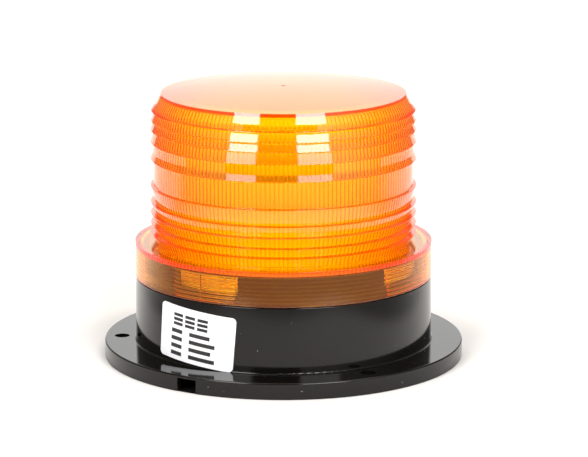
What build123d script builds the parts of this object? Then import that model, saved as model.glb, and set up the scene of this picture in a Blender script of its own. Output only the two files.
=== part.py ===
from build123d import *

import os
from math import cos, radians, sin

os.makedirs("parts", exist_ok=True)

# Amber warning beacon with a screw-on lens. Origin at the centre of the flange's underside, +Z up.
# Sizes in millimetres, angles in degrees about +Z from +X.

# Driving dimensions: flange and mounting
FLANGE_R = 60.0
FLANGE_H = 5.4
FLANGE_WEB = 2.5
SKIRT_WALL = 2.4
MOUNT_HOLE_R = 2.5
MOUNT_PCD = 108.6
MOUNT_COUNT = 3
MOUNT_ANGLE = 180.0
MOUNT_BOSS_R = 4.7
RIB_COUNT = 24
RIB_T = 1.4
RIB_RECESS = 0.6
EXIT_ANGLE = 238.7
EXIT_WIDTH = 7.0
EXIT_HEIGHT = 4.45

# Driving dimensions: housing
BODY_R_LOW = 49.6
BODY_R_TOP = 49.3
SHOULDER_Z = 27.2
BORE_R = 46.2
COVER_BORE_R = 47.4
LEDGE_Z = 8.2
DECK_Z = 30.4
DECK_INNER_R = 42.6
NECK_TOP_Z = 36.2
NECK_R = 46.8
NECK_BORE_R = 44.6
NECK_GAP = 29.0
NECK_GAP_ANGLE = EXIT_ANGLE - 1.2
NECK_GAP_Z = 27.6
FUSE_IN = 0.5

# Driving dimensions: lens and its thread
PITCH = 1.35
COLLAR_R = 49.5
COLLAR_BORE_R = 47.65
COLLAR_Z = 27.5
LENS_SEAT_Z = 37.2
LENS_SHOULDER_Z = 39.0
LENS_BORE_R = 41.35
FLUTE_DEPTH = 0.3
FLUTES = 180
THREAD_Z = 29.95
THREAD_TURNS = 4.7
NECK_THREAD_TURNS = 3.7

# Driving dimensions: boards, covers and their screws
COVER_Z = 5.2
COVER_T = 2.0
COVER_R = 47.2
BOARD_T = 1.6
LED_BOARD_R = 44.2
DRIVER_Z = 12.2
DRIVER_SIZE = (64.0, 44.0)
STANDOFFS = (54.0, 34.0)
PILOT_R = 1.3
CLEARANCE_R = 1.6
SHANK_R = 1.25
HEAD_R = 2.6
HEAD_H = 1.8
HEAD_ROUND = 0.7
RECESS_SPAN = 2.8
RECESS_SLOT = 0.6
RECESS_DEPTH = 0.9
COVER_SCREW_R = 43.4
COVER_BOSS_R = 3.2
COVER_PILOT_DEPTH = 12.0
LED_SCREW_R = 38.5
LED_LUG_R = 3.4
LED_LUG_WIDTH = 4.0
LED_LUG_DEPTH = 8.0
LED_PILOT_DEPTH = 7.0
SCREW_ANGLE = EXIT_ANGLE + 45.0
GROMMET_PLACE_R = 33.0
CABLE_R = 2.3
LINK_X = 28.5
LINK_PINS = 4
LINK_PITCH = 2.54
LINK_HOLE_R = 0.55

DRIVER_TOP = DRIVER_Z + BOARD_T
LED_TOP = DECK_Z + BOARD_T
COVER_TOP = COVER_Z + COVER_T


def polar(radius, angle):
    """Point at a radius and an angle in degrees."""
    return (radius * cos(radians(angle)), radius * sin(radians(angle)))


def around(radius, start, count):
    """Evenly spaced points on a circle."""
    return [polar(radius, start + 360.0 * k / count) for k in range(count)]


def thread_ridge(base_r, crest_r, z_low, turns):
    """A right-hand helical ridge with sloping flanks."""
    base_half = 0.375
    crest_half = 0.125
    rise = crest_r - base_r
    with BuildPart(mode=Mode.PRIVATE) as ridge:
        with BuildLine():
            helix = Helix(pitch=PITCH, height=turns * PITCH, radius=base_r, center=(0, 0, z_low))
        with BuildSketch(Plane(origin=helix @ 0, x_dir=(1, 0, 0), z_dir=helix % 0)):
            with BuildLine():
                Polyline(
                    (0, -base_half),
                    (0, base_half),
                    (rise, crest_half),
                    (rise, -crest_half),
                    close=True,
                )
            make_face()
        sweep(path=helix, is_frenet=True)
    return ridge.part


def round_off(sketch, corners, radius):
    """Round the named corners of a profile."""
    for corner in corners:
        nearest = sketch.vertices().sort_by_distance((corner[0], corner[1], 0))[0]
        fillet(nearest, radius=radius)


# Base housing: flange with a skirt, body wall, deck ring and interrupted threaded neck
SKIRT_R = FLANGE_R - SKIRT_WALL
WEB_Z = FLANGE_H - FLANGE_WEB
WALL_FOOT_R = BODY_R_LOW - 0.1
DECK_LOW_Z = 27.9
DECK_HAUNCH_Z = 24.6
EDGE_ROUND = 0.5

with BuildPart() as base_housing:
    with BuildSketch(Plane.XZ) as housing_profile:
        with BuildLine():
            Polyline(
                (FLANGE_R, 0),
                (FLANGE_R, FLANGE_H),
                (BODY_R_LOW, FLANGE_H),
                (BODY_R_TOP, SHOULDER_Z),
                (NECK_R, SHOULDER_Z),
                (NECK_R, NECK_TOP_Z),
                (NECK_BORE_R, NECK_TOP_Z),
                (NECK_BORE_R, DECK_Z),
                (DECK_INNER_R, DECK_Z),
                (DECK_INNER_R, DECK_LOW_Z),
                (BORE_R, DECK_HAUNCH_Z),
                (BORE_R, LEDGE_Z),
                (COVER_BORE_R, LEDGE_Z),
                (COVER_BORE_R, 0),
                (WALL_FOOT_R, 0),
                (WALL_FOOT_R, WEB_Z),
                (SKIRT_R, WEB_Z),
                (SKIRT_R, 0),
                close=True,
            )
        make_face()
        round_off(housing_profile, [(FLANGE_R, FLANGE_H), (BODY_R_LOW, FLANGE_H)], EDGE_ROUND)
        round_off(housing_profile, [(BODY_R_TOP, SHOULDER_Z)], 0.3)
    revolve(axis=Axis.Z)

    # Stiffening ribs and screw bosses under the flange
    rib_length = SKIRT_R - WALL_FOOT_R + 2 * FUSE_IN
    rib_start = EXIT_ANGLE + 180.0 / RIB_COUNT
    with BuildSketch(Plane.XY.offset(RIB_RECESS)):
        with PolarLocations((SKIRT_R + WALL_FOOT_R) / 2, RIB_COUNT, start_angle=rib_start):
            Rectangle(rib_length, RIB_T)
    extrude(amount=WEB_Z - RIB_RECESS + FUSE_IN)
    with BuildSketch(Plane.XY):
        with Locations(*around(MOUNT_PCD / 2, MOUNT_ANGLE, MOUNT_COUNT)):
            Circle(MOUNT_BOSS_R)
    extrude(amount=WEB_Z + FUSE_IN)

    # Bosses for the bottom cover's screws, up to the deck ring
    with BuildSketch(Plane.XY.offset(LEDGE_Z)):
        with Locations(*around(COVER_SCREW_R, SCREW_ANGLE, 4)):
            Circle(COVER_BOSS_R)
    extrude(amount=DECK_LOW_Z - LEDGE_Z + FUSE_IN)

    # Lugs for the LED board's screws
    with BuildSketch(Plane.XY.offset(DECK_Z - LED_LUG_DEPTH)):
        with Locations(*around(LED_SCREW_R, SCREW_ANGLE, 4)):
            Circle(LED_LUG_R)
        with PolarLocations((LED_SCREW_R + BORE_R) / 2, 4, start_angle=SCREW_ANGLE):
            Rectangle(BORE_R - LED_SCREW_R, LED_LUG_WIDTH)
    extrude(amount=LED_LUG_DEPTH)

    # External thread of the neck, then the four gaps that split it into lugs
    add(thread_ridge(NECK_R - 0.1, NECK_R + 0.6, THREAD_Z + PITCH / 2, NECK_THREAD_TURNS))
    with BuildSketch(Plane.XY.offset(NECK_GAP_Z)):
        for quarter in range(4):
            gap_angle = NECK_GAP_ANGLE + 90.0 * quarter
            with BuildLine():
                Polyline(
                    (0, 0),
                    polar(FLANGE_R, gap_angle - NECK_GAP / 2),
                    polar(FLANGE_R, gap_angle + NECK_GAP / 2),
                    close=True,
                )
            make_face()
        Circle((NECK_BORE_R + DECK_INNER_R) / 2, mode=Mode.SUBTRACT)
    extrude(amount=NECK_TOP_Z, mode=Mode.SUBTRACT)

    # Mounting holes, pilot holes and the cable's way out through the wall and the skirt
    with BuildSketch(Plane.XY):
        with Locations(*around(MOUNT_PCD / 2, MOUNT_ANGLE, MOUNT_COUNT)):
            Circle(MOUNT_HOLE_R)
    extrude(amount=FLANGE_H, mode=Mode.SUBTRACT)
    with BuildSketch(Plane.XY.offset(LEDGE_Z)):
        with Locations(*around(COVER_SCREW_R, SCREW_ANGLE, 4)):
            Circle(PILOT_R)
    extrude(amount=COVER_PILOT_DEPTH, mode=Mode.SUBTRACT)
    with BuildSketch(Plane.XY.offset(DECK_Z)):
        with Locations(*around(LED_SCREW_R, SCREW_ANGLE, 4)):
            Circle(PILOT_R)
    extrude(amount=-LED_PILOT_DEPTH, mode=Mode.SUBTRACT)
    exit_length = 18.0
    with BuildSketch(Plane.XY):
        with PolarLocations(FLANGE_R - exit_length / 2 + 2.0, 1, start_angle=EXIT_ANGLE):
            Rectangle(exit_length, EXIT_WIDTH)
    extrude(amount=EXIT_HEIGHT, mode=Mode.SUBTRACT)
base_housing.part.label = "base_housing"
export_step(base_housing.part, "parts/base_housing.step")

# Lens: one moulding with a prismed dome outside, flutes inside and a threaded collar
BELT_R = 43.15
LOWER_VALLEYS = (42.35, 42.3, 42.35, 42.6, 42.75)
TIP_R = 44.2
LOWER_TIPS = (42.1, 45.2, 48.65, 52.35, 57.95)
UPPER_TIPS = ((66.9, 44.2), (72.6, 44.2), (76.6, 44.1), (79.7, 44.0), (83.1, 43.9))
UPPER_VALLEYS = (42.9, 42.75, 42.6, 42.3)
LEDGE_DRAFT = 0.25
LAST_KNEE = (43.4, 69.2)
BEVEL = (42.2, 85.4)
ROOF_EDGE = (40.6, 88.6)
ROOF_Z = 90.6
ROOF_T = 2.0
GROOVE = (44.7, 47.4)
GROOVE_RIB = 0.4
GROOVE_RIB_H = 0.4
LENS_CORE_R = LENS_BORE_R - 1.3
FLUTE_TOP_Z = ROOF_EDGE[1] - ROOF_T - 2.2

with BuildPart() as lens:
    with BuildSketch(Plane.XZ) as lens_profile:
        outline = [(COLLAR_BORE_R, COLLAR_Z), (COLLAR_R, COLLAR_Z), (COLLAR_R, LENS_SHOULDER_Z)]
        valley_z = LENS_SHOULDER_Z
        for tip_z, valley_r in zip(LOWER_TIPS, LOWER_VALLEYS):
            outline.append((valley_r, valley_z))
            outline.append((TIP_R, tip_z))
            valley_z = tip_z + LEDGE_DRAFT
        outline.append((BELT_R, valley_z))
        outline.append((BELT_R, UPPER_TIPS[0][0] + LEDGE_DRAFT))
        for index, (tip_z, tip_r) in enumerate(UPPER_TIPS):
            outline.append((tip_r, tip_z))
            if index == 0:
                outline.append(LAST_KNEE)
            if index < len(UPPER_VALLEYS):
                outline.append((UPPER_VALLEYS[index], UPPER_TIPS[index + 1][0] + LEDGE_DRAFT))
        outline.append(BEVEL)
        outline.append(ROOF_EDGE)
        roof_in_edge = (LENS_CORE_R - 1.2, ROOF_EDGE[1] - ROOF_T)
        rib_z = LENS_SEAT_Z - GROOVE_RIB_H
        with BuildLine():
            Polyline(*outline)
            TangentArc((0, ROOF_Z), ROOF_EDGE, tangent=(1, 0))
            Line((0, ROOF_Z), (0, ROOF_Z - ROOF_T))
            TangentArc((0, ROOF_Z - ROOF_T), roof_in_edge, tangent=(1, 0))
            Polyline(
                roof_in_edge,
                (LENS_CORE_R, FLUTE_TOP_Z + 1.0),
                (LENS_CORE_R, LENS_SEAT_Z),
                (GROOVE[0] - GROOVE_RIB, LENS_SEAT_Z),
                (GROOVE[0] - GROOVE_RIB, rib_z),
                (GROOVE[0], rib_z),
                (GROOVE[0], LENS_SEAT_Z),
                (GROOVE[1], LENS_SEAT_Z),
                (GROOVE[1], rib_z),
                (COLLAR_BORE_R, rib_z),
                (COLLAR_BORE_R, COLLAR_Z),
            )
        make_face()
        round_off(lens_profile, [(COLLAR_R, LENS_SHOULDER_Z)], 0.4)
    revolve(axis=Axis.Z)

    # Upright flutes: a many-pointed star cuts the bore up to the roof
    flute_foot_z = LENS_SEAT_Z - 1.0
    with BuildSketch(Plane.XY.offset(flute_foot_z)):
        with BuildLine():
            star = []
            for flute in range(FLUTES):
                turn = 360.0 / FLUTES
                star.append(polar(LENS_BORE_R + FLUTE_DEPTH / 2, turn * (flute + 0.25)))
                star.append(polar(LENS_BORE_R - FLUTE_DEPTH / 2, turn * (flute + 0.75)))
            Polyline(*star, close=True)
        make_face()
    extrude(amount=FLUTE_TOP_Z - flute_foot_z, mode=Mode.SUBTRACT)

    add(thread_ridge(COLLAR_BORE_R + 0.1, NECK_R + 0.15, THREAD_Z, THREAD_TURNS))
lens.part.label = "lens"
export_step(lens.part, "parts/lens.step")

# Flat slip ring on the neck's end, clear of the lens thread's last turn and of the groove above it
SLIP_RING_R = (GROOVE[0] + 0.3, NECK_R - 0.2)
SLIP_RING_Z = (NECK_TOP_Z + 0.15, LENS_SEAT_Z - 0.25)

with BuildPart() as lens_slip_ring:
    with BuildSketch(Plane.XY.offset(SLIP_RING_Z[0])):
        Circle(SLIP_RING_R[1])
        Circle(SLIP_RING_R[0], mode=Mode.SUBTRACT)
    extrude(amount=SLIP_RING_Z[1] - SLIP_RING_Z[0])
lens_slip_ring.part.label = "lens_slip_ring"
export_step(lens_slip_ring.part, "parts/lens_slip_ring.step")

# Thin flat gasket on the shoulder, under the foot of the collar
GASKET_GAP = 0.03

with BuildPart() as lens_gasket:
    with BuildSketch(Plane.XY.offset(SHOULDER_Z + GASKET_GAP)):
        Circle(BODY_R_TOP - 0.4)
        Circle(COLLAR_BORE_R + 0.1, mode=Mode.SUBTRACT)
    extrude(amount=COLLAR_Z - SHOULDER_Z - 2 * GASKET_GAP)
lens_gasket.part.label = "lens_gasket"
export_step(lens_gasket.part, "parts/lens_gasket.step")

# Bottom cover with standoffs for the driver board
GROMMET_POINT = polar(GROMMET_PLACE_R, EXIT_ANGLE)
GROMMET_HOLE_R = 4.0
STANDOFF_R = 3.0
STANDOFF_PILOT_DEPTH = 5.6
COVER_RIB_R = 24.0
COVER_RIB_T = 1.4
COVER_RIB_H = 1.6

with BuildPart() as bottom_cover:
    with BuildSketch(Plane.XY.offset(COVER_Z)):
        Circle(COVER_R)
    extrude(amount=COVER_T)
    chamfer(bottom_cover.edges().filter_by(GeomType.CIRCLE).group_by(Axis.Z)[0], length=0.4)
    with BuildSketch(Plane.XY.offset(COVER_TOP)):
        with GridLocations(STANDOFFS[0], STANDOFFS[1], 2, 2):
            Circle(STANDOFF_R)
    extrude(amount=DRIVER_Z - COVER_TOP)
    cross_length = 2 * COVER_RIB_R - COVER_RIB_T
    with BuildSketch(Plane.XY.offset(COVER_TOP)):
        Circle(COVER_RIB_R)
        Circle(COVER_RIB_R - COVER_RIB_T, mode=Mode.SUBTRACT)
        Rectangle(cross_length, COVER_RIB_T)
        Rectangle(COVER_RIB_T, cross_length)
    extrude(amount=COVER_RIB_H)
    with BuildSketch(Plane.XY.offset(DRIVER_Z)):
        with GridLocations(STANDOFFS[0], STANDOFFS[1], 2, 2):
            Circle(PILOT_R)
    extrude(amount=-STANDOFF_PILOT_DEPTH, mode=Mode.SUBTRACT)
    with BuildSketch(Plane.XY.offset(COVER_Z)):
        with Locations(*around(COVER_SCREW_R, SCREW_ANGLE, 4)):
            Circle(CLEARANCE_R)
        with Locations(GROMMET_POINT):
            Circle(GROMMET_HOLE_R)
    extrude(amount=COVER_T, mode=Mode.SUBTRACT)
bottom_cover.part.label = "bottom_cover"
export_step(bottom_cover.part, "parts/bottom_cover.step")

# Gasket squeezed between the cover and the housing's ledge
with BuildPart() as bottom_cover_gasket:
    with BuildSketch(Plane.XY.offset(COVER_TOP)):
        Circle(COVER_R - 0.05)
        Circle(BORE_R + 0.05, mode=Mode.SUBTRACT)
        with Locations(*around(COVER_SCREW_R, SCREW_ANGLE, 4)):
            Circle(COVER_BOSS_R)
        with Locations(*around(COVER_SCREW_R, SCREW_ANGLE, 4)):
            Circle(CLEARANCE_R, mode=Mode.SUBTRACT)
    extrude(amount=LEDGE_Z - COVER_TOP)
bottom_cover_gasket.part.label = "bottom_cover_gasket"
export_step(bottom_cover_gasket.part, "parts/bottom_cover_gasket.step")


def screw_set(points, seat_z, shank_length, up):
    """Pan-head screws with a cross recess; up is +1 for heads above the seat, -1 for heads below."""
    with BuildPart(mode=Mode.PRIVATE) as screws:
        with BuildSketch(Plane.XY.offset(seat_z)):
            with Locations(*points):
                Circle(HEAD_R)
        extrude(amount=up * HEAD_H)
        rims = screws.edges().filter_by(GeomType.CIRCLE).group_by(Axis.Z)[-1 if up > 0 else 0]
        fillet(rims, radius=HEAD_ROUND)
        with BuildSketch(Plane.XY.offset(seat_z + up * HEAD_H)):
            with Locations(*points):
                Rectangle(RECESS_SPAN, RECESS_SLOT)
                Rectangle(RECESS_SLOT, RECESS_SPAN)
        extrude(amount=-up * RECESS_DEPTH, mode=Mode.SUBTRACT)
        with BuildSketch(Plane.XY.offset(seat_z)):
            with Locations(*points):
                Circle(SHANK_R)
        extrude(amount=-up * shank_length)
    return screws.part


STANDOFF_POINTS = [(x * STANDOFFS[0] / 2, y * STANDOFFS[1] / 2) for x in (-1, 1) for y in (-1, 1)]

with BuildPart() as bottom_cover_screws:
    add(screw_set(around(COVER_SCREW_R, SCREW_ANGLE, 4), COVER_Z, 12.0, -1))
bottom_cover_screws.part.label = "bottom_cover_screws"
export_step(bottom_cover_screws.part, "parts/bottom_cover_screws.step")

with BuildPart() as led_board_screws:
    add(screw_set(around(LED_SCREW_R, SCREW_ANGLE, 4), LED_TOP, 8.0, 1))
led_board_screws.part.label = "led_board_screws"
export_step(led_board_screws.part, "parts/led_board_screws.step")

with BuildPart() as driver_board_screws:
    add(screw_set(STANDOFF_POINTS, DRIVER_TOP, 6.5, 1))
driver_board_screws.part.label = "driver_board_screws"
export_step(driver_board_screws.part, "parts/driver_board_screws.step")

# Rubber grommet, the supply cable's inlet in the bottom cover
GROMMET_LIP = 1.3
GROMMET_LIP_R = 5.4
GROMMET_LOW_Z = COVER_Z - GROMMET_LIP
GROMMET_LENGTH = COVER_T + 2 * GROMMET_LIP

with BuildPart() as cable_grommet:
    for low_z, height, radius in (
        (GROMMET_LOW_Z, GROMMET_LIP, GROMMET_LIP_R),
        (COVER_Z, COVER_T, GROMMET_HOLE_R - 0.03),
        (COVER_TOP, GROMMET_LIP, GROMMET_LIP_R),
    ):
        with BuildSketch(Plane.XY.offset(low_z)):
            with Locations(GROMMET_POINT):
                Circle(radius)
        extrude(amount=height)
    with BuildSketch(Plane.XY.offset(GROMMET_LOW_Z)):
        with Locations(GROMMET_POINT):
            Circle(CABLE_R)
    extrude(amount=GROMMET_LENGTH, mode=Mode.SUBTRACT)
cable_grommet.part.label = "cable_grommet"
export_step(cable_grommet.part, "parts/cable_grommet.step")

# LED board: a white disc on the deck ring
LINK_POINTS = [(LINK_X, (k - (LINK_PINS - 1) / 2) * LINK_PITCH) for k in range(LINK_PINS)]

with BuildPart() as led_board:
    with BuildSketch(Plane.XY.offset(DECK_Z)):
        Circle(LED_BOARD_R)
        with Locations(*around(LED_SCREW_R, SCREW_ANGLE, 4)):
            Circle(CLEARANCE_R, mode=Mode.SUBTRACT)
        with Locations(*LINK_POINTS):
            Circle(LINK_HOLE_R, mode=Mode.SUBTRACT)
    extrude(amount=BOARD_T)
led_board.part.label = "led_board"
export_step(led_board.part, "parts/led_board.step")

LED_RINGS = ((12.0, 6), (22.0, 12), (33.0, 18))
LED_SIZE = (3.5, 2.8, 0.8)
LED_WINDOW = (2.7, 2.1, 0.3)
LED_START = 15.0
WINDOW_GAP = 0.02
WINDOW_SIZE = (LED_WINDOW[0] - 3 * WINDOW_GAP, LED_WINDOW[1] - 3 * WINDOW_GAP)
WINDOW_Z = LED_TOP + LED_SIZE[2] - LED_WINDOW[2] + WINDOW_GAP

with BuildPart() as led_packages:
    with BuildSketch(Plane.XY.offset(LED_TOP)):
        for ring_r, ring_count in LED_RINGS:
            with PolarLocations(ring_r, ring_count, start_angle=LED_START):
                Rectangle(LED_SIZE[0], LED_SIZE[1])
    extrude(amount=LED_SIZE[2])
    with BuildSketch(Plane.XY.offset(LED_TOP + LED_SIZE[2])):
        for ring_r, ring_count in LED_RINGS:
            with PolarLocations(ring_r, ring_count, start_angle=LED_START):
                Rectangle(LED_WINDOW[0], LED_WINDOW[1])
    extrude(amount=-LED_WINDOW[2], mode=Mode.SUBTRACT)
led_packages.part.label = "led_packages"
export_step(led_packages.part, "parts/led_packages.step")

with BuildPart() as led_windows:
    with BuildSketch(Plane.XY.offset(WINDOW_Z)):
        for ring_r, ring_count in LED_RINGS:
            with PolarLocations(ring_r, ring_count, start_angle=LED_START):
                RectangleRounded(WINDOW_SIZE[0], WINDOW_SIZE[1], 0.4)
    extrude(amount=LED_WINDOW[2] - 2 * WINDOW_GAP)
led_windows.part.label = "led_windows"
export_step(led_windows.part, "parts/led_windows.step")

RESISTOR_SIZE = (1.6, 3.2, 0.6)
RESISTOR_RING_R = 17.0

with BuildPart() as led_resistors:
    with BuildSketch(Plane.XY.offset(LED_TOP)):
        with PolarLocations(RESISTOR_RING_R, 6, start_angle=3 * LED_START):
            Rectangle(RESISTOR_SIZE[0], RESISTOR_SIZE[1])
    extrude(amount=RESISTOR_SIZE[2])
    chamfer(led_resistors.edges().group_by(Axis.Z)[-1], length=0.1)
led_resistors.part.label = "led_resistors"
export_step(led_resistors.part, "parts/led_resistors.step")

# Driver board on the cover's standoffs
with BuildPart() as driver_board:
    with BuildSketch(Plane.XY.offset(DRIVER_Z)):
        RectangleRounded(DRIVER_SIZE[0], DRIVER_SIZE[1], 2.0)
        with GridLocations(STANDOFFS[0], STANDOFFS[1], 2, 2):
            Circle(CLEARANCE_R, mode=Mode.SUBTRACT)
    extrude(amount=BOARD_T)
driver_board.part.label = "driver_board"
export_step(driver_board.part, "parts/driver_board.step")

# Two-way terminal block with its wire funnels and clamp screws
TERMINAL = (-14.0, -16.0)
TERMINAL_SIZE = (10.2, 8.0, 9.6)
TERMINAL_SPACING = 5.0
CLAMP_WELL = (2.0, 3.4)
CLAMP_SCREW = (1.9, 2.4)
WIRE_FUNNEL = (3.6, 4.0, 4.5)

with BuildPart() as input_terminal_block:
    with BuildSketch(Plane.XY.offset(DRIVER_TOP)):
        with Locations(TERMINAL):
            Rectangle(TERMINAL_SIZE[0], TERMINAL_SIZE[1])
    extrude(amount=TERMINAL_SIZE[2])
    chamfer(input_terminal_block.edges().filter_by(Axis.X).group_by(Axis.Z)[-1], length=1.2)
    front_y = TERMINAL[1] - TERMINAL_SIZE[1] / 2
    with BuildSketch(Plane.XZ.offset(-front_y)):
        with Locations((TERMINAL[0], DRIVER_TOP + 3.4)):
            with GridLocations(TERMINAL_SPACING, 1.0, 2, 1):
                RectangleRounded(WIRE_FUNNEL[0], WIRE_FUNNEL[1], 0.6)
    extrude(amount=-WIRE_FUNNEL[2], mode=Mode.SUBTRACT)
    with BuildSketch(Plane.XY.offset(DRIVER_TOP + TERMINAL_SIZE[2])):
        with Locations(TERMINAL):
            with GridLocations(TERMINAL_SPACING, 1.0, 2, 1):
                Circle(CLAMP_WELL[0])
    extrude(amount=-CLAMP_WELL[1], mode=Mode.SUBTRACT)
input_terminal_block.part.label = "input_terminal_block"
export_step(input_terminal_block.part, "parts/input_terminal_block.step")

clamp_foot_z = DRIVER_TOP + TERMINAL_SIZE[2] - CLAMP_WELL[1]

with BuildPart() as terminal_screws:
    with BuildSketch(Plane.XY.offset(clamp_foot_z)):
        with Locations(TERMINAL):
            with GridLocations(TERMINAL_SPACING, 1.0, 2, 1):
                Circle(CLAMP_SCREW[0])
    extrude(amount=CLAMP_SCREW[1])
    with BuildSketch(Plane.XY.offset(clamp_foot_z + CLAMP_SCREW[1])):
        with Locations(TERMINAL):
            with GridLocations(TERMINAL_SPACING, 1.0, 2, 1):
                Rectangle(2 * CLAMP_WELL[0], RECESS_SLOT)
    extrude(amount=-RECESS_DEPTH, mode=Mode.SUBTRACT)
terminal_screws.part.label = "terminal_screws"
export_step(terminal_screws.part, "parts/terminal_screws.step")


CAN_LIFT = 0.4
LEAD_R = 0.35
BEAD_DEPTH = 0.4
BEAD_H = 0.7
VENT_SHARE = 1.2
VENT_SLOT = 0.3
VENT_DEPTH = 0.2


def radial_can(centre, radius, height, bead_z, vented):
    """A radial component: a round can on two leads, with a crimped bead and an optional cross vent."""
    foot_z = DRIVER_TOP + CAN_LIFT
    with BuildPart(mode=Mode.PRIVATE) as can:
        with BuildSketch(Plane.XY.offset(foot_z)):
            with Locations(centre):
                Circle(radius)
        extrude(amount=height)
        fillet(can.edges().filter_by(GeomType.CIRCLE), radius=0.5)
        if bead_z:
            with BuildSketch(Plane.XY.offset(foot_z + bead_z)):
                with Locations(centre):
                    Circle(radius + BEAD_DEPTH)
                    Circle(radius - BEAD_DEPTH, mode=Mode.SUBTRACT)
            extrude(amount=BEAD_H, mode=Mode.SUBTRACT)
        if vented:
            with BuildSketch(Plane.XY.offset(foot_z + height)):
                with Locations(centre):
                    Rectangle(radius * VENT_SHARE, VENT_SLOT)
                    Rectangle(VENT_SLOT, radius * VENT_SHARE)
            extrude(amount=-VENT_DEPTH, mode=Mode.SUBTRACT)
        with BuildSketch(Plane.XY.offset(DRIVER_TOP)):
            with Locations(centre):
                with GridLocations(radius, 1.0, 2, 1):
                    Circle(LEAD_R)
        extrude(amount=CAN_LIFT + VENT_DEPTH)
    return can.part


with BuildPart() as fuse:
    add(radial_can((-26.0, -5.0), 4.2, 7.6, 0, False))
fuse.part.label = "fuse"
export_step(fuse.part, "parts/fuse.step")

with BuildPart() as bridge_rectifier:
    add(radial_can((-16.0, 3.0), 4.6, 5.2, 0, False))
bridge_rectifier.part.label = "bridge_rectifier"
export_step(bridge_rectifier.part, "parts/bridge_rectifier.step")

with BuildPart() as input_capacitor:
    add(radial_can((-12.0, 15.0), 5.0, 10.6, 1.6, True))
input_capacitor.part.label = "input_capacitor"
export_step(input_capacitor.part, "parts/input_capacitor.step")

with BuildPart() as output_capacitor:
    add(radial_can((17.0, 12.0), 4.0, 8.6, 1.4, True))
output_capacitor.part.label = "output_capacitor"
export_step(output_capacitor.part, "parts/output_capacitor.step")

# Drum inductor: ferrite core and its winding
INDUCTOR = (3.0, 5.0)
DRUM_R = 5.6
DRUM_WAIST_R = 2.6
DRUM_DISC = 1.6
DRUM_H = 8.0
WINDING_R = 4.9
WINDING_GAP = 0.03

with BuildPart() as inductor_core:
    for low_z, height, radius in (
        (DRIVER_TOP, DRUM_DISC, DRUM_R),
        (DRIVER_TOP + DRUM_DISC, DRUM_H - 2 * DRUM_DISC, DRUM_WAIST_R),
        (DRIVER_TOP + DRUM_H - DRUM_DISC, DRUM_DISC, DRUM_R),
    ):
        with BuildSketch(Plane.XY.offset(low_z)):
            with Locations(INDUCTOR):
                Circle(radius)
        extrude(amount=height)
inductor_core.part.label = "inductor_core"
export_step(inductor_core.part, "parts/inductor_core.step")

with BuildPart() as inductor_winding:
    with BuildSketch(Plane.XY.offset(DRIVER_TOP + DRUM_DISC + WINDING_GAP)):
        with Locations(INDUCTOR):
            Circle(WINDING_R)
            Circle(DRUM_WAIST_R + WINDING_GAP, mode=Mode.SUBTRACT)
    extrude(amount=DRUM_H - 2 * DRUM_DISC - 2 * WINDING_GAP)
    fillet(inductor_winding.edges().filter_by(GeomType.CIRCLE), radius=0.4)
inductor_winding.part.label = "inductor_winding"
export_step(inductor_winding.part, "parts/inductor_winding.step")

# Tabbed switching transistor and eight-legged flasher controller
TRANSISTOR = (3.0, -13.0)
TRANSISTOR_SIZE = (6.6, 6.1, 2.3)
TRANSISTOR_TAB = (5.3, 1.4)
TRANSISTOR_LEG = (0.8, 2.6, 0.5)
LEG_SPREAD = 2.28

with BuildPart() as switching_transistor:
    with BuildSketch(Plane.XY.offset(DRIVER_TOP)):
        with Locations(TRANSISTOR):
            Rectangle(TRANSISTOR_SIZE[0], TRANSISTOR_SIZE[1])
    extrude(amount=TRANSISTOR_SIZE[2])
    chamfer(switching_transistor.edges().group_by(Axis.Z)[-1], length=0.4)
    with BuildSketch(Plane.XY.offset(DRIVER_TOP)):
        with Locations((TRANSISTOR[0], TRANSISTOR[1] + 3.6)):
            Rectangle(TRANSISTOR_TAB[0], TRANSISTOR_TAB[1])
        for side in (-1, 1):
            with Locations((TRANSISTOR[0] + side * LEG_SPREAD, TRANSISTOR[1] - 4.2)):
                Rectangle(TRANSISTOR_LEG[0], TRANSISTOR_LEG[1])
    extrude(amount=TRANSISTOR_LEG[2])
switching_transistor.part.label = "switching_transistor"
export_step(switching_transistor.part, "parts/switching_transistor.step")

CONTROLLER = (17.0, -8.0)
CONTROLLER_SIZE = (4.9, 3.9, 1.4)
CONTROLLER_LIFT = 0.15
LEG_SIZE = (0.42, 1.2, 0.3)
LEG_GRID = (1.27, 5.0)

with BuildPart() as flasher_controller:
    with BuildSketch(Plane.XY.offset(DRIVER_TOP + CONTROLLER_LIFT)):
        with Locations(CONTROLLER):
            Rectangle(CONTROLLER_SIZE[0], CONTROLLER_SIZE[1])
    extrude(amount=CONTROLLER_SIZE[2])
    chamfer(flasher_controller.edges().group_by(Axis.Z)[-1], length=0.25)
    with BuildSketch(Plane.XY.offset(DRIVER_TOP)):
        with Locations(CONTROLLER):
            with GridLocations(LEG_GRID[0], LEG_GRID[1], 4, 2):
                Rectangle(LEG_SIZE[0], LEG_SIZE[1])
    extrude(amount=LEG_SIZE[2])
flasher_controller.part.label = "flasher_controller"
export_step(flasher_controller.part, "parts/flasher_controller.step")

# Link between the boards: socket on the driver board, header and pins on the LED board
SOCKET_H = 12.6
SOCKET_DEPTH = 7.0
HEADER_H = 2.5
HEADER_W = 2.5
PIN_SIDE = 0.64
PIN_LOW_Z = DRIVER_TOP + SOCKET_H - 6.0
PIN_PROUD = 0.6
LINK_LENGTH = LINK_PITCH * LINK_PINS

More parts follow.
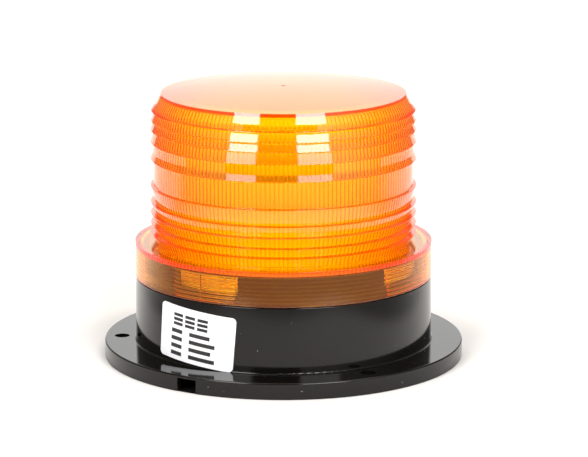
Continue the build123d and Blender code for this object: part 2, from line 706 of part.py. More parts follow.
with BuildPart() as board_link_socket:
    with BuildSketch(Plane.XY.offset(DRIVER_TOP)):
        with Locations((LINK_X, 0)):
            Rectangle(HEADER_W, LINK_LENGTH)
    extrude(amount=SOCKET_H)
    with BuildSketch(Plane.XY.offset(DRIVER_TOP + SOCKET_H)):
        with Locations(*LINK_POINTS):
            Rectangle(PIN_SIDE + 0.2, PIN_SIDE + 0.2)
    extrude(amount=-SOCKET_DEPTH, mode=Mode.SUBTRACT)
board_link_socket.part.label = "board_link_socket"
export_step(board_link_socket.part, "parts/board_link_socket.step")

with BuildPart() as board_link_header:
    with BuildSketch(Plane.XY.offset(DECK_Z - HEADER_H)):
        with Locations((LINK_X, 0)):
            Rectangle(HEADER_W, LINK_LENGTH)
        with Locations(*LINK_POINTS):
            Rectangle(PIN_SIDE + 0.04, PIN_SIDE + 0.04, mode=Mode.SUBTRACT)
    extrude(amount=HEADER_H)
board_link_header.part.label = "board_link_header"
export_step(board_link_header.part, "parts/board_link_header.step")

with BuildPart() as board_link_pins:
    with BuildSketch(Plane.XY.offset(PIN_LOW_Z)):
        with Locations(*LINK_POINTS):
            Rectangle(PIN_SIDE, PIN_SIDE)
    extrude(amount=LED_TOP + PIN_PROUD - PIN_LOW_Z)
board_link_pins.part.label = "board_link_pins"
export_step(board_link_pins.part, "parts/board_link_pins.step")

# Rating label: a thin sticker that follows the body's wall
LABEL_ANGLE = 234.2
LABEL_Z = 15.3
LABEL_SIZE = (29.6, 18.0)
LABEL_TILT = -4.0
LABEL_GAP = 0.05
LABEL_T = 0.2
LABEL_CORNER = 1.5

with BuildPart() as rating_label:
    with BuildSketch(Plane.XZ):
        with BuildLine():
            Polyline(
                (BODY_R_LOW + LABEL_GAP, FLANGE_H),
                (BODY_R_LOW + LABEL_GAP + LABEL_T, FLANGE_H),
                (BODY_R_TOP + LABEL_GAP + LABEL_T, SHOULDER_Z),
                (BODY_R_TOP + LABEL_GAP, SHOULDER_Z),
                close=True,
            )
        make_face()
    revolve(axis=Axis.Z)
    out_x, out_y = polar(1.0, LABEL_ANGLE)
    level = cos(radians(LABEL_TILT))
    tilted_x = (-out_y * level, out_x * level, sin(radians(LABEL_TILT)))
    label_plane = Plane(origin=(0, 0, LABEL_Z), x_dir=tilted_x, z_dir=(out_x, out_y, 0))
    with BuildSketch(label_plane):
        RectangleRounded(LABEL_SIZE[0], LABEL_SIZE[1], LABEL_CORNER)
    extrude(amount=FLANGE_R, mode=Mode.INTERSECT)
rating_label.part.label = "rating_label"
export_step(rating_label.part, "parts/rating_label.step")
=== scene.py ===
from math import cos, hypot, pi, radians, sin, sqrt

import bpy
import numpy as np
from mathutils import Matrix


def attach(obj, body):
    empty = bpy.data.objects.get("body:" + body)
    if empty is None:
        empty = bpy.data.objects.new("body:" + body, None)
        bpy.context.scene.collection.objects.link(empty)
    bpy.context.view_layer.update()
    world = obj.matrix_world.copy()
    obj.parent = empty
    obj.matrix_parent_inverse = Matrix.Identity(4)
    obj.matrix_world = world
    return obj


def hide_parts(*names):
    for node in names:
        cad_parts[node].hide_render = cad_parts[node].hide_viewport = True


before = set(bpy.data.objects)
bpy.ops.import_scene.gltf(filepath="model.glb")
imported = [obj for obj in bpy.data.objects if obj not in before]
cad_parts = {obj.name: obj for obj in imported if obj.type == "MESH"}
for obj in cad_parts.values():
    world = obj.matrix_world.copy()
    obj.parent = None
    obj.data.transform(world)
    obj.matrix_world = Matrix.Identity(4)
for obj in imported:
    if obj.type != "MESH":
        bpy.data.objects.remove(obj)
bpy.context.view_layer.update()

# Sizes in millimetres in the CAD model's frame, made metres by MM. Angles in degrees about +Z from +X.
MM = 0.001

# ---------------------------------------------------------------- camera
CAMERA_BACK = 0.974
CAMERA_HEIGHT = 0.2629
CAMERA_DOWN = 12.765
CAMERA_YAW = 0.206
CAMERA_LENS = 183.16

camera_data = bpy.data.cameras.new("camera")
camera_data.lens = CAMERA_LENS
camera_data.sensor_width = 36.0
camera_data.clip_end = 20.0
camera = bpy.data.objects.new("camera", camera_data)
camera.location = (0.0, -CAMERA_BACK, CAMERA_HEIGHT)
camera.rotation_euler = (radians(90.0 - CAMERA_DOWN), 0.0, radians(-CAMERA_YAW))
bpy.context.scene.collection.objects.link(camera)
bpy.context.scene.camera = camera

# Colour is shown as it is, without a film curve, and glass gets enough bounces
view = bpy.context.scene.view_settings
view.view_transform = "Standard"
bounces = bpy.context.scene.cycles
bounces.max_bounces = 64
bounces.transmission_bounces = 64
bounces.glossy_bounces = 64
bounces.diffuse_bounces = 4


# ---------------------------------------------------------------- node helpers
def node(tree, kind, **inputs):
    """A new node with its sockets set by name; a value may be a socket to link from."""
    made = tree.nodes.new(kind)
    for key, value in inputs.items():
        name = key.replace("_", " ")
        if hasattr(made, key) and name not in made.inputs:
            setattr(made, key, value)
        elif isinstance(value, bpy.types.NodeSocket):
            tree.links.new(value, made.inputs[name])
        else:
            made.inputs[name].default_value = value
    return made


def math_node(tree, operation, first, second=None, third=None, clamp=False):
    made = tree.nodes.new("ShaderNodeMath")
    made.operation = operation
    made.use_clamp = clamp
    for index, value in enumerate((first, second, third)):
        if isinstance(value, bpy.types.NodeSocket):
            tree.links.new(value, made.inputs[index])
        elif value is not None:
            made.inputs[index].default_value = value
    return made.outputs[0]


def remap(tree, value, low, high, out_low, out_high, smooth=False):
    made = node(tree, "ShaderNodeMapRange", Value=value)
    made.inputs["From Min"].default_value = low
    made.inputs["From Max"].default_value = high
    made.inputs["To Min"].default_value = out_low
    made.inputs["To Max"].default_value = out_high
    if smooth:
        made.interpolation_type = "SMOOTHSTEP"
    return made.outputs["Result"]


def mix_colour(tree, factor, first, second):
    made = tree.nodes.new("ShaderNodeMix")
    made.data_type = "RGBA"
    for socket, value in ((made.inputs[0], factor), (made.inputs[6], first), (made.inputs[7], second)):
        if isinstance(value, bpy.types.NodeSocket):
            tree.links.new(value, socket)
        else:
            socket.default_value = value
    return made.outputs[2]


def blend(tree, factor, first, second):
    """A number that goes from the first to the second as the factor goes from 0 to 1."""
    return node(tree, "ShaderNodeMix", Factor=factor, A=first, B=second).outputs[0]


def noise(tree, scale, detail=4.0, roughness=0.55, vector=None):
    made = node(tree, "ShaderNodeTexNoise", Scale=scale, Detail=detail, Roughness=roughness)
    if vector is None:
        vector = tree.nodes.new("ShaderNodeTexCoord").outputs["Object"]
    tree.links.new(vector, made.inputs["Vector"])
    return made.outputs["Fac"]


def new_material(name):
    """A material with an empty tree, its output node and a Principled shader."""
    material = bpy.data.materials.new(name)
    material.use_nodes = True
    tree = material.node_tree
    tree.nodes.clear()
    output = tree.nodes.new("ShaderNodeOutputMaterial")
    shader = tree.nodes.new("ShaderNodeBsdfPrincipled")
    tree.links.new(shader.outputs["BSDF"], output.inputs["Surface"])
    return material, tree, shader, output


def solid_colour(name, colour, rough, vary=0.12, grain=900.0, bump=0.02, metal=0.0, ior=1.5, speck=0.0):
    """Plastic, rubber, board or metal: mottled colour and roughness, fine bump, optional dust specks."""
    material, tree, shader, _ = new_material(name)
    mottle = noise(tree, grain * 0.12, 5.0)
    fine = noise(tree, grain, 3.0)
    dark = tuple(c * (1.0 - vary) for c in colour) + (1.0,)
    light = tuple(min(1.0, c * (1.0 + vary)) for c in colour) + (1.0,)
    base = mix_colour(tree, mottle, dark, light)
    roughness = remap(tree, mottle, 0.3, 0.7, rough * 0.85, min(1.0, rough * 1.15))
    if speck:
        cells = node(tree, "ShaderNodeTexVoronoi", Scale=grain * 0.28)
        coords = tree.nodes.new("ShaderNodeTexCoord").outputs["Object"]
        tree.links.new(coords, cells.inputs["Vector"])
        thin_out = noise(tree, grain * 0.35, 1.0)
        dots = math_node(tree, "LESS_THAN", cells.outputs["Distance"], speck)
        some = math_node(tree, "GREATER_THAN", thin_out, 0.6)
        dust = math_node(tree, "MULTIPLY", dots, some)
        base = mix_colour(tree, dust, base, (0.42, 0.40, 0.38, 1.0))
        roughness = math_node(tree, "ADD", roughness, math_node(tree, "MULTIPLY", dust, 0.4), clamp=True)
    tree.links.new(base, shader.inputs["Base Color"])
    tree.links.new(roughness, shader.inputs["Roughness"])
    shader.inputs["Metallic"].default_value = metal
    shader.inputs["IOR"].default_value = ior
    surface = node(tree, "ShaderNodeBump", Strength=bump, Distance=0.0001, Height=fine)
    tree.links.new(surface.outputs["Normal"], shader.inputs["Normal"])
    return material


# ---------------------------------------------------------------- materials
ROOF_Z = 90.6
ROOF_T = 2.0
ROOF_EDGE = (40.6, 88.6)
FLUTE_BEND_Z = 84.5
FLUTE_TOP_Z = 86.8
ROOF_IN_R = 40.1
BORE_R = 41.35
INSIDE_REACH = 0.3
PAINTED_GLOW = 0.068
HAIR = 0.000001


def amber_plastic():
    """Clear amber moulding with a painted red-orange glow from emission: gloss outside, satin inside the
    dome, colour by depth.
    """
    material, tree, shader, output = new_material("amber_plastic")
    shader.inputs["Base Color"].default_value = (1.0, 0.9, 0.12, 1.0)
    shader.inputs["Transmission Weight"].default_value = 1.0
    shader.inputs["IOR"].default_value = 1.585
    # Painted glow: a faint red-orange emission, though the beacon is not lit
    shader.inputs["Emission Color"].default_value = (1.0, 0.24, 0.0, 1.0)
    shader.inputs["Emission Strength"].default_value = PAINTED_GLOW
    wave = noise(tree, 55.0, 2.0)
    gloss = remap(tree, wave, 0.3, 0.7, 0.012, 0.035)
    satin = remap(tree, wave, 0.3, 0.7, 0.28, 0.36)
    coords = tree.nodes.new("ShaderNodeTexCoord").outputs["Object"]
    place = node(tree, "ShaderNodeSeparateXYZ", Vector=coords)
    across = math_node(tree, "MULTIPLY", place.outputs[0], place.outputs[0])
    across = math_node(tree, "MULTIPLY_ADD", place.outputs[1], place.outputs[1], across)
    radius = math_node(tree, "SQRT", across)
    bend, top = FLUTE_BEND_Z * MM, FLUTE_TOP_Z * MM
    wall_limit = remap(tree, place.outputs[2], bend, top, BORE_R * MM, ROOF_IN_R * MM)
    inside = math_node(tree, "LESS_THAN", radius, math_node(tree, "ADD", wall_limit, INSIDE_REACH * MM))
    below_roof = math_node(tree, "LESS_THAN", place.outputs[2], (ROOF_Z - ROOF_T) * MM - HAIR)
    inside = math_node(tree, "MULTIPLY", inside, below_roof)
    tree.links.new(blend(tree, inside, gloss, satin), shader.inputs["Roughness"])
    surface = node(tree, "ShaderNodeBump", Strength=0.05, Distance=0.0002, Height=wave)
    tree.links.new(surface.outputs["Normal"], shader.inputs["Normal"])
    volume = tree.nodes.new("ShaderNodeVolumeAbsorption")
    volume.inputs["Color"].default_value = (0.9998, 0.944, 0.0, 1.0)
    volume.inputs["Density"].default_value = 2600.0
    tree.links.new(volume.outputs["Volume"], output.inputs["Volume"])
    return material


BLACK_TONE = (0.004, 0.0034, 0.0028)
BLACK = solid_colour("housing_black", BLACK_TONE, 0.1, grain=1400.0, bump=0.015, ior=1.42, speck=0.055)
LABEL = solid_colour("label_film", (0.93, 0.93, 0.96), 0.32, vary=0.02, grain=700.0, bump=0.01)
PRINT = solid_colour("label_ink", (0.02, 0.02, 0.02), 0.45, vary=0.3, grain=2500.0, bump=0.02)
SEAL = solid_colour("seal_rubber", (0.02, 0.02, 0.02), 0.7, grain=1200.0, bump=0.12)
COVER = solid_colour("cover_black", (0.022, 0.021, 0.02), 0.5, grain=2600.0, bump=0.3)
SCREW = solid_colour("zinc_steel", (0.72, 0.72, 0.70), 0.3, vary=0.08, metal=1.0, grain=2400.0, bump=0.04)
WHITE_BOARD = solid_colour("white_solder_mask", (0.82, 0.82, 0.80), 0.3, vary=0.03, grain=600.0)
LED_BODY = solid_colour("led_body_white", (0.9, 0.9, 0.88), 0.4, vary=0.03)
PHOSPHOR = solid_colour("led_window_amber", (0.9, 0.55, 0.06), 0.2, vary=0.08, grain=3000.0)
EPOXY = solid_colour("epoxy_black", (0.025, 0.025, 0.027), 0.55, grain=3000.0, bump=0.2)
TERMINAL = solid_colour("terminal_green", (0.03, 0.3, 0.12), 0.35)
SLEEVE = solid_colour("capacitor_blue", (0.02, 0.035, 0.12), 0.25)
FUSE = solid_colour("fuse_brown", (0.35, 0.07, 0.04), 0.35)
FERRITE = solid_colour("ferrite_grey", (0.06, 0.06, 0.065), 0.6, grain=2600.0, bump=0.2)
HEADER = solid_colour("header_black", (0.02, 0.02, 0.02), 0.45)
PIN = solid_colour("pin_gold", (0.83, 0.62, 0.28), 0.25, vary=0.06, metal=1.0)


def green_board():
    """Green solder mask over copper tracks."""
    material, tree, shader, _ = new_material("green_solder_mask")
    coords = tree.nodes.new("ShaderNodeTexCoord").outputs["Object"]
    tracks = node(tree, "ShaderNodeTexBrick", Scale=90.0)
    tracks.inputs["Mortar Size"].default_value = 0.06
    tree.links.new(coords, tracks.inputs["Vector"])
    mask = mix_colour(tree, tracks.outputs["Fac"], (0.01, 0.10, 0.035, 1.0), (0.03, 0.22, 0.07, 1.0))
    tree.links.new(mask, shader.inputs["Base Color"])
    tree.links.new(remap(tree, noise(tree, 400.0), 0.3, 0.7, 0.22, 0.4), shader.inputs["Roughness"])
    surface = node(tree, "ShaderNodeBump", Strength=0.2, Distance=0.00005, Height=tracks.outputs["Fac"])
    tree.links.new(surface.outputs["Normal"], shader.inputs["Normal"])
    return material


def copper_winding():
    """Enamelled wire laid turn on turn: fine rings around the drum."""
    material, tree, shader, _ = new_material("copper_winding")
    coords = tree.nodes.new("ShaderNodeTexCoord").outputs["Object"]
    turns = node(tree, "ShaderNodeTexWave", Scale=320.0, Distortion=0.6)
    turns.bands_direction = "Z"
    tree.links.new(coords, turns.inputs["Vector"])
    wire = mix_colour(tree, turns.outputs["Fac"], (0.25, 0.07, 0.02, 1.0), (0.75, 0.3, 0.12, 1.0))
    tree.links.new(wire, shader.inputs["Base Color"])
    shader.inputs["Metallic"].default_value = 0.8
    shader.inputs["Roughness"].default_value = 0.3
    surface = node(tree, "ShaderNodeBump", Strength=0.6, Distance=0.0001, Height=turns.outputs["Fac"])
    tree.links.new(surface.outputs["Normal"], shader.inputs["Normal"])
    return material


NODE_MATERIALS = {
    "base_housing": BLACK,
    "rating_label": LABEL,
    "lens_gasket": SEAL,
    "lens_slip_ring": SEAL,
    "bottom_cover": COVER,
    "bottom_cover_gasket": SEAL,
    "bottom_cover_screws": SCREW,
    "cable_grommet": SEAL,
    "led_board": WHITE_BOARD,
    "led_board_screws": SCREW,
    "led_packages": LED_BODY,
    "led_windows": PHOSPHOR,
    "led_resistors": EPOXY,
    "driver_board": green_board(),
    "driver_board_screws": SCREW,
    "input_terminal_block": TERMINAL,
    "terminal_screws": SCREW,
    "fuse": FUSE,
    "bridge_rectifier": EPOXY,
    "input_capacitor": SLEEVE,
    "output_capacitor": SLEEVE,
    "inductor_core": FERRITE,
    "inductor_winding": copper_winding(),
    "switching_transistor": EPOXY,
    "flasher_controller": EPOXY,
    "board_link_socket": HEADER,
    "board_link_header": HEADER,
    "board_link_pins": PIN,
}
for node_name, material in NODE_MATERIALS.items():
    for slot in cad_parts[node_name].material_slots:
        slot.material = material


# ---------------------------------------------------------------- the lens, as one turned moulding
SEGMENTS = 360
FLUTES = 180
FLUTE_DEPTH = 0.16
FLUTE_STEPS = (0.0, 0.05, 0.13, 0.27, 0.5, 0.73, 0.87, 0.95)
PITCH = 1.35
COLLAR_R = 49.5
COLLAR_BORE_R = 47.65
COLLAR_Z = 27.5
SEAT_Z = 37.2
SHOULDER_Z = 39.0
BELT_R = 43.15
TIP_R = 44.2
LOWER_TIPS = (57.95, 52.35, 48.65, 45.2, 42.1)
UPPER_TIPS = ((83.1, 43.9), (79.7, 44.0), (76.6, 44.1), (72.6, 44.2), (66.9, 44.2))
UPPER_VALLEYS = (42.3, 42.6, 42.75, 42.9)
LAST_KNEE = (43.4, 69.2)
LOWER_VALLEYS = (42.75, 42.6, 42.35, 42.3, 42.35)
LEDGE_DRAFT = 0.25
BEVEL = (42.2, 85.4)
THREAD_LOW_Z = 28.2
THREAD_RIDGES = 7
THREAD_H = 0.25
SEAM_ANGLE = 237.4
SEAM_H = 0.22
SEAM_W = 0.3
LUG_ANGLE = 237.5
LUG_HALF = 14.0
THREAD_H_FAINT = 0.03
THREAD_FOOT = 0.375
THREAD_CREST = 0.125
GROOVE = (44.7, 47.4)
GROOVE_RIB = 0.4
CORNER_R = 0.14
ROOF_RINGS = 12
INNER_ROOF_RINGS = 8
WALL_RINGS = 8
BEND_RINGS = 4
GATE_DEPTH = 0.5
GATE_DIMPLE = ((0.35, 0.5), (0.55, 0.4), (0.7, 0.05), (0.85, 0.001), (1.0, 0.001), (1.3, 0.002))


def round_corner(before, corner, after, radius, steps=2):
    """Points of a small arc that takes a corner off a profile, with a guard point on each flat beside it."""
    into = (before[0] - corner[0], before[1] - corner[1])
    out = (after[0] - corner[0], after[1] - corner[1])
    into_len, out_len = hypot(*into), hypot(*out)
    reach = min(radius, 0.35 * into_len, 0.35 * out_len)
    start = (corner[0] + into[0] / into_len * reach, corner[1] + into[1] / into_len * reach)
    end = (corner[0] + out[0] / out_len * reach, corner[1] + out[1] / out_len * reach)
    guard = min(0.1, 0.1 * into_len, 0.1 * out_len)
    before_arc = (start[0] + into[0] / into_len * guard, start[1] + into[1] / into_len * guard)
    after_arc = (end[0] + out[0] / out_len * guard, end[1] + out[1] / out_len * guard)
    points = [before_arc]
    for k in range(steps + 1):
        t = k / steps
        bend = (1 - t) ** 2, 2 * t * (1 - t), t * t
        points.append(tuple(bend[0] * a + bend[1] * b + bend[2] * c for a, b, c in zip(start, corner, end)))
    return points + [after_arc]


def rounded(points, radius):
    """A profile with all its inner corners rounded."""
    result = [points[0]]
    for k in range(1, len(points) - 1):
        result += round_corner(points[k - 1], points[k], points[k + 1], radius)
    return result + [points[-1]]


def crown(edge_r, edge_z, top_z, steps):
    """Rings of a shallow spherical crown, from near its pole to its edge."""
    drop = top_z - edge_z
    sphere = (edge_r**2 + drop**2) / (2 * drop)
    rings = []
    for k in range(1, steps + 1):
        radius = edge_r * k / steps
        rings.append((radius, top_z - sphere + sqrt(sphere**2 - radius**2)))
    return rings


def outer_profile():
    """The outside from the roof's edge down to the collar's foot."""
    points = [ROOF_EDGE, BEVEL]
    for index, (tip_z, tip_r) in enumerate(UPPER_TIPS):
        last = index == len(UPPER_TIPS) - 1
        if last:
            points.append(LAST_KNEE)
        points.append((tip_r, tip_z))
        points.append((BELT_R if last else UPPER_VALLEYS[index], tip_z + LEDGE_DRAFT))
    for index, tip_z in enumerate(LOWER_TIPS):
        points.append((BELT_R if index == 0 else LOWER_VALLEYS[index - 1], tip_z + LEDGE_DRAFT))
        points.append((TIP_R, tip_z))
    points.append((LOWER_VALLEYS[-1], SHOULDER_Z))
    points.append((COLLAR_R, SHOULDER_Z))
    points.append((COLLAR_R, COLLAR_Z))
    return points


def ring_angles():
    """Even steps round the lens with three close ones on the mould seam."""
    even = np.arange(SEGMENTS) * (2 * pi / SEGMENTS)
    seam = radians(SEAM_ANGLE)
    spread = SEAM_W / COLLAR_R
    kept = even[np.abs(even - seam) > 1.6 * spread]
    return np.sort(np.concatenate([kept, [seam - spread, seam, seam + spread]]))


def flute_angles():
    """Steps that crowd towards each flute's edge, where it bends."""
    shares = np.array(FLUTE_STEPS)
    pitch = 2 * pi / FLUTES
    return np.concatenate([(k + shares) * pitch for k in range(FLUTES)])


def join_rings(first, first_angles, second, second_angles):
    """Triangles between two rings of different step counts; first and second are their first vertices."""
    faces = []
    a = b = 0
    count_a, count_b = len(first_angles), len(second_angles)
    while a < count_a or b < count_b:
        next_a = first_angles[(a + 1) % count_a] + 2 * pi * ((a + 1) // count_a)
        next_b = second_angles[(b + 1) % count_b] + 2 * pi * ((b + 1) // count_b)
        if b >= count_b or (a < count_a and next_a <= next_b):
            faces.append((first + a % count_a, second + b % count_b, first + (a + 1) % count_a))
            a += 1
        else:
            faces.append((first + a % count_a, second + b % count_b, second + (b + 1) % count_b))
            b += 1
    return faces


def lens_rows():
    """Radius, height and kind of every ring, from the roof's middle down the outside and up the inside."""
    groove_in, groove_out = GROOVE
    rib_z = SEAT_Z - GROOVE_RIB
    outside = [(r, ROOF_Z - drop) for r, drop in GATE_DIMPLE]
    outside += crown(ROOF_EDGE[0], ROOF_EDGE[1], ROOF_Z, ROOF_RINGS)
    outside += rounded(outer_profile() + [(COLLAR_BORE_R, COLLAR_Z)], CORNER_R)[1:]
    rows = [(r, z, "plain") for r, z in outside]
    for turn in range(THREAD_RIDGES):
        z = THREAD_LOW_Z + turn * PITCH
        rows.append((COLLAR_BORE_R, z - THREAD_FOOT, "plain"))
        rows.append((COLLAR_BORE_R, z - THREAD_CREST, "thread"))
        rows.append((COLLAR_BORE_R, z + THREAD_CREST, "thread"))
        rows.append((COLLAR_BORE_R, z + THREAD_FOOT, "plain"))
    rows += [
        (COLLAR_BORE_R, rib_z, "plain"),
        (groove_out, rib_z, "plain"),
        (groove_out, SEAT_Z, "plain"),
        (groove_in, SEAT_Z, "plain"),
        (groove_in, rib_z, "plain"),
        (groove_in - GROOVE_RIB, rib_z, "plain"),
        (groove_in - GROOVE_RIB, SEAT_Z, "plain"),
    ]
    for k in range(WALL_RINGS + 1):
        rows.append((BORE_R, SEAT_Z + (FLUTE_BEND_Z - SEAT_Z) * k / WALL_RINGS, "flute"))
    for k in range(1, BEND_RINGS + 1):
        share = k / BEND_RINGS
        radius = BORE_R + (ROOF_IN_R - BORE_R) * share
        rows.append((radius, FLUTE_BEND_Z + (FLUTE_TOP_Z - FLUTE_BEND_Z) * share, "flute"))
    rows.append((ROOF_IN_R - 0.25, FLUTE_TOP_Z + 0.2, "plain"))
    inside = crown(ROOF_IN_R - 0.8, FLUTE_TOP_Z + 0.35, ROOF_Z - ROOF_T, INNER_ROOF_RINGS)
    rows += [(r, z, "plain") for r, z in reversed(inside)]
    return rows


def ring_radii(radius, height, kind, angles):
    """Radii of one ring, with its flutes, its thread or its seam."""
    if kind == "flute":
        fold = (angles * FLUTES / (2 * pi)) % 1.0
        return radius - FLUTE_DEPTH * np.abs(2.0 * fold - 1.0) ** 3
    if kind == "thread":
        off_lug = np.abs((np.degrees(angles) - LUG_ANGLE + 45.0) % 90.0 - 45.0)
        return radius - np.where(off_lug < LUG_HALF, THREAD_H, THREAD_H_FAINT)
    if radius > COLLAR_R - 0.2 and COLLAR_Z < height < SHOULDER_Z:
        on_seam = np.abs(angles - radians(SEAM_ANGLE)) < 0.1 * SEAM_W / COLLAR_R
        return radius + SEAM_H * on_seam
    return np.full(len(angles), radius)


def lens_mesh():
    rows = lens_rows()
    steps = {"plain": ring_angles(), "flute": flute_angles()}
    steps["thread"] = steps["plain"]
    vertices = [(0.0, 0.0, (ROOF_Z - GATE_DEPTH) * MM)]
    starts = []
    for radius, height, kind in rows:
        angles = steps[kind]
        radii = ring_radii(radius, height, kind, angles)
        starts.append(len(vertices))
        heights = np.full(len(angles), height)
        ring = np.stack([radii * np.cos(angles), radii * np.sin(angles), heights], 1) * MM
        vertices += [tuple(p) for p in ring.tolist()]
    vertices.append((0.0, 0.0, (ROOF_Z - ROOF_T) * MM))
    faces = []
    count = len(steps["plain"])
    for j in range(count):
        after = (j + 1) % count
        faces.append((0, starts[0] + j, starts[0] + after))
        faces.append((len(vertices) - 1, starts[-1] + after, starts[-1] + j))
    for k in range(len(rows) - 1):
        upper, lower = steps[rows[k][2]], steps[rows[k + 1][2]]
        if len(upper) != len(lower):
            faces += join_rings(starts[k], upper, starts[k + 1], lower)
            continue
        this, below = starts[k], starts[k + 1]
        for j in range(len(upper)):
            after = (j + 1) % len(upper)
            faces.append((this + j, below + j, below + after, this + after))
    mesh = bpy.data.meshes.new("amber_lens")
    mesh.from_pydata(vertices, [], faces)
    mesh.materials.append(amber_plastic())
    mesh.validate()
    mesh.shade_smooth()
    mesh.set_sharp_from_angle(angle=radians(28.0))
    return mesh


lens = bpy.data.objects.new("amber_lens", lens_mesh())
bpy.context.scene.collection.objects.link(lens)
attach(lens, "lens")
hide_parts("lens")

# ---------------------------------------------------------------- sticker print: plain bars, no lettering
LABEL_ANGLE = 234.2
LABEL_Z = 15.3
LABEL_TILT = -4.0
WALL_R_LOW, WALL_LOW_Z = 49.6, 5.4
WALL_R_TOP, WALL_TOP_Z = 49.3, 27.2
LABEL_PROUD = 0.25
INK_T = 0.02
INK_LIFT = 0.001
BAR_STEP = 0.5
HEAD_BARS = ((5.6, 6.6), (4.1, 5.1), (2.6, 3.6))
HEAD_LEFT, HEAD_PITCH, HEAD_W = -8.8, 5.0, 4.0
ROW_TOP, ROW_PITCH, ROW_HALF = 0.6, 2.5, 0.65
ROW_FIRST = (-9.6, -4.8)
ROW_SECOND = -1.8
ROW_LENGTHS = (8.0, 10.0, 8.6, 10.2)


def label_point(u, v, lift):
    """A point on the sticker, u to the right and v up from its middle, lifted off the film."""
    tilt = radians(LABEL_TILT)
    along = u * cos(tilt) - v * sin(tilt)
    z = LABEL_Z + u * sin(tilt) + v * cos(tilt)
    share = (z - WALL_LOW_Z) / (WALL_TOP_Z - WALL_LOW_Z)
    radius = WALL_R_LOW + (WALL_R_TOP - WALL_R_LOW) * share + LABEL_PROUD + lift
    angle = radians(LABEL_ANGLE) + along / radius
    return (radius * cos(angle) * MM, radius * sin(angle) * MM, z * MM)


def add_bar(vertices, faces, u0, u1, v0, v1):
    """One closed bar of ink that follows the wall."""
    steps = max(1, int((u1 - u0) / BAR_STEP))
    first = len(vertices)
    for k in range(steps + 1):
        u = u0 + (u1 - u0) * k / steps
        for v, lift in ((v0, INK_LIFT), (v1, INK_LIFT), (v1, INK_T), (v0, INK_T)):
            vertices.append(label_point(u, v, lift))
    for k in range(steps):
        a = first + 4 * k
        for side in range(4):
            beside = (side + 1) % 4
            faces.append((a + side, a + beside, a + 4 + beside, a + 4 + side))
    faces.append((first + 3, first + 2, first + 1, first))
    end = first + 4 * steps
    faces.append((end, end + 1, end + 2, end + 3))


def label_print():
    """Three short stacks of bars at the head and a row of two bars for each line below."""
    vertices, faces = [], []
    for k in range(3):
        left = HEAD_LEFT + HEAD_PITCH * k
        for low, high in HEAD_BARS:
            add_bar(vertices, faces, left, left + HEAD_W, low, high)
    for row, length in enumerate(ROW_LENGTHS):
        v = ROW_TOP - ROW_PITCH * row
        add_bar(vertices, faces, ROW_FIRST[0], ROW_FIRST[1], v - ROW_HALF, v + ROW_HALF)
        add_bar(vertices, faces, ROW_SECOND, ROW_SECOND + length, v - ROW_HALF, v + ROW_HALF)
    mesh = bpy.data.meshes.new("label_print")
    mesh.from_pydata(vertices, [], faces)
    mesh.validate()
    return mesh


ink = bpy.data.objects.new("label_print", label_print())
ink.data.materials.append(PRINT)
bpy.context.scene.collection.objects.link(ink)
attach(ink, "housing")

# ---------------------------------------------------------------- studio: pale floor with painted light and shade, soft light all round
FLOOR_SIDE = 8.0
FLOOR_DROP = 0.0001
SHADE_R = 59.6
PAPER_SHADED_NEAR = ((0.74, 0.72, 0.7, 1.0), (0.76, 0.74, 0.72, 1.0))
PAPER_LIT = (0.92, 0.9, 0.87, 1.0)
PAPER_SHADOW_BLACK = (0.01, 0.01, 0.01, 1.0)
LIT_AWAY = (0.062, 0.085)
LIT_RIGHT = (-0.05, 0.055)
LIT_BEHIND = (0.0, 0.06)
POOL_WIDE = 1.3
POOL_EDGE = (0.134, 0.17)
POOL_BACK = (-0.05, 0.1)
POOL_SHADE = 0.68


def floor_material():
    """Warm white paper with painted light and shade: painted lighter to the right and behind, painted shade
    in front, a painted black shadow under the flange.
    """
    material, tree, shader, _ = new_material("studio_floor")
    shaded_paper = mix_colour(tree, noise(tree, 3.0), *PAPER_SHADED_NEAR)
    coords = tree.nodes.new("ShaderNodeTexCoord").outputs["Object"]
    place = node(tree, "ShaderNodeSeparateXYZ", Vector=coords)
    x, y = place.outputs[0], place.outputs[1]
    distance = node(tree, "ShaderNodeVectorMath", operation="LENGTH")
    tree.links.new(coords, distance.inputs[0])
    # Painted light: the paper is painted lighter away from the beacon, to the right and behind
    away = remap(tree, distance.outputs["Value"], *LIT_AWAY, 0.0, 1.0, smooth=True)
    to_right = remap(tree, x, *LIT_RIGHT, 0.0, 1.0)
    behind = remap(tree, y, *LIT_BEHIND, 0.0, 1.0)
    lit = math_node(tree, "MULTIPLY", away, math_node(tree, "MAXIMUM", to_right, behind))
    paper = mix_colour(tree, lit, shaded_paper, PAPER_LIT)

    # The painted pool of light is a square with round corners; the painted shade outside it fades out behind
    # the beacon
    across = math_node(tree, "MULTIPLY", math_node(tree, "ABSOLUTE", x), POOL_WIDE)
    ahead = math_node(tree, "MAXIMUM", math_node(tree, "MULTIPLY", y, -1.0), 0.0)
    across, ahead = (math_node(tree, "POWER", value, 4.0) for value in (across, ahead))
    pool = math_node(tree, "POWER", math_node(tree, "ADD", across, ahead), 0.25)
    shade = remap(tree, pool, *POOL_EDGE, 0.0, 1.0, smooth=True)
    shade = math_node(tree, "MULTIPLY", shade, remap(tree, y, *POOL_BACK, 1.0, 0.0, smooth=True))
    share = math_node(tree, "MULTIPLY_ADD", shade, -POOL_SHADE, 1.0)
    # Painted shadow: the paper under the flange is painted near black
    outside = math_node(tree, "GREATER_THAN", distance.outputs["Value"], SHADE_R * MM)
    paper = mix_colour(tree, math_node(tree, "MULTIPLY", share, outside), PAPER_SHADOW_BLACK, paper)
    tree.links.new(paper, shader.inputs["Base Color"])
    shader.inputs["Roughness"].default_value = 0.9
    shader.inputs["Specular IOR Level"].default_value = 0.0
    return material


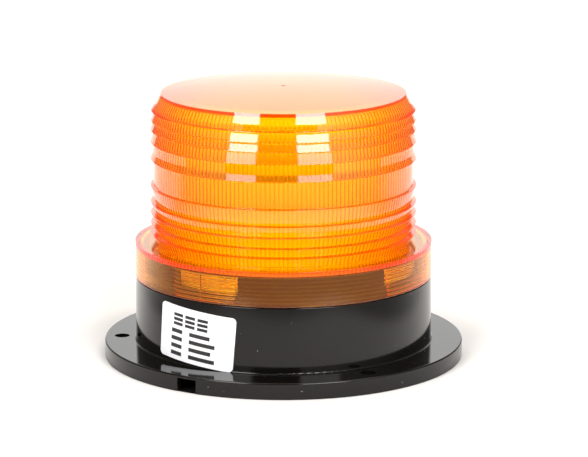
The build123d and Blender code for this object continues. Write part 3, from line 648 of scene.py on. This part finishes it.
floor_mesh = bpy.data.meshes.new("floor")
half = FLOOR_SIDE / 2
corners = [(x, y, -FLOOR_DROP) for x, y in ((-half, -half), (half, -half), (half, half), (-half, half))]
floor_mesh.from_pydata(corners, [], [(0, 1, 2, 3)])
floor_mesh.materials.append(floor_material())
floor = bpy.data.objects.new("floor", floor_mesh)
bpy.context.scene.collection.objects.link(floor)


# Levels of the surround, and the softboxes' places in degrees, azimuth from the front to the right
BACKDROP = 1.5
OVERHEAD = 2.0
SIDE = 0.2
RIGHT_FILL = 1.0
LEFT_FILL = 0.5
SOFTBOX_LEVELS = (5.5, 13.0)
ROOM = 0.03
SOFTBOX_LEFT = (-52.0, -25.0)
SOFTBOX_RIGHT = (13.0, 44.0)
SOFTBOX_TALL = (15.0, 50.0)
SOFTBOX_STEP = (26.0, 32.0)
RIGHT_FADE = (50.0, 100.0)
LEFT_FADE = (-100.0, -55.0)
BACKDROP_FADE = (156.0, 170.0)
OVERHEAD_FADE = (52.0, 62.0)
ROOM_TOP = 72.0


def studio_world():
    """White surround, two tall softboxes towards the front and the dark room between them."""
    world = bpy.data.worlds.new("studio")
    world.use_nodes = True
    tree = world.node_tree
    tree.nodes.clear()
    coords = tree.nodes.new("ShaderNodeTexCoord").outputs["Generated"]
    direction = node(tree, "ShaderNodeSeparateXYZ", Vector=coords)
    x, y, z = (direction.outputs[k] for k in range(3))
    to_front = math_node(tree, "MULTIPLY", y, -1.0)
    azimuth = math_node(tree, "ARCTAN2", x, to_front)
    elevation = math_node(tree, "ARCSINE", z)

    def band(value, low, high, soft=1.0):
        rising = remap(tree, value, radians(low - soft), radians(low + soft), 0.0, 1.0, smooth=True)
        falling = remap(tree, value, radians(high - soft), radians(high + soft), 1.0, 0.0, smooth=True)
        return math_node(tree, "MULTIPLY", rising, falling)

    tall = band(elevation, *SOFTBOX_TALL)
    left = math_node(tree, "MULTIPLY", band(azimuth, *SOFTBOX_LEFT), tall)
    right = math_node(tree, "MULTIPLY", band(azimuth, *SOFTBOX_RIGHT), tall)
    boxes = math_node(tree, "ADD", left, right)
    box_level = remap(tree, elevation, *map(radians, SOFTBOX_STEP), *SOFTBOX_LEVELS, smooth=True)
    from_right = remap(tree, azimuth, *map(radians, RIGHT_FADE), RIGHT_FILL, SIDE)
    from_left = remap(tree, azimuth, *map(radians, LEFT_FADE), SIDE, LEFT_FILL)
    sides = blend(tree, math_node(tree, "GREATER_THAN", azimuth, 0.0), from_left, from_right)
    turned = math_node(tree, "ABSOLUTE", azimuth)
    to_back = remap(tree, turned, *map(radians, BACKDROP_FADE), 0.0, 1.0, smooth=True)
    level = blend(tree, to_back, sides, BACKDROP)
    to_top = remap(tree, elevation, *map(radians, OVERHEAD_FADE), 0.0, 1.0, smooth=True)
    level = blend(tree, to_top, level, OVERHEAD)
    between = band(azimuth, SOFTBOX_LEFT[0], SOFTBOX_RIGHT[1])
    dark_front = math_node(tree, "MULTIPLY", between, band(elevation, -90.0, ROOM_TOP))
    level = blend(tree, dark_front, level, ROOM)
    level = math_node(tree, "MULTIPLY_ADD", boxes, box_level, level)
    background = node(tree, "ShaderNodeBackground", Color=(1.0, 0.995, 0.985, 1.0), Strength=level)
    output = tree.nodes.new("ShaderNodeOutputWorld")
    tree.links.new(background.outputs[0], output.inputs["Surface"])
    bpy.context.scene.world = world


studio_world()
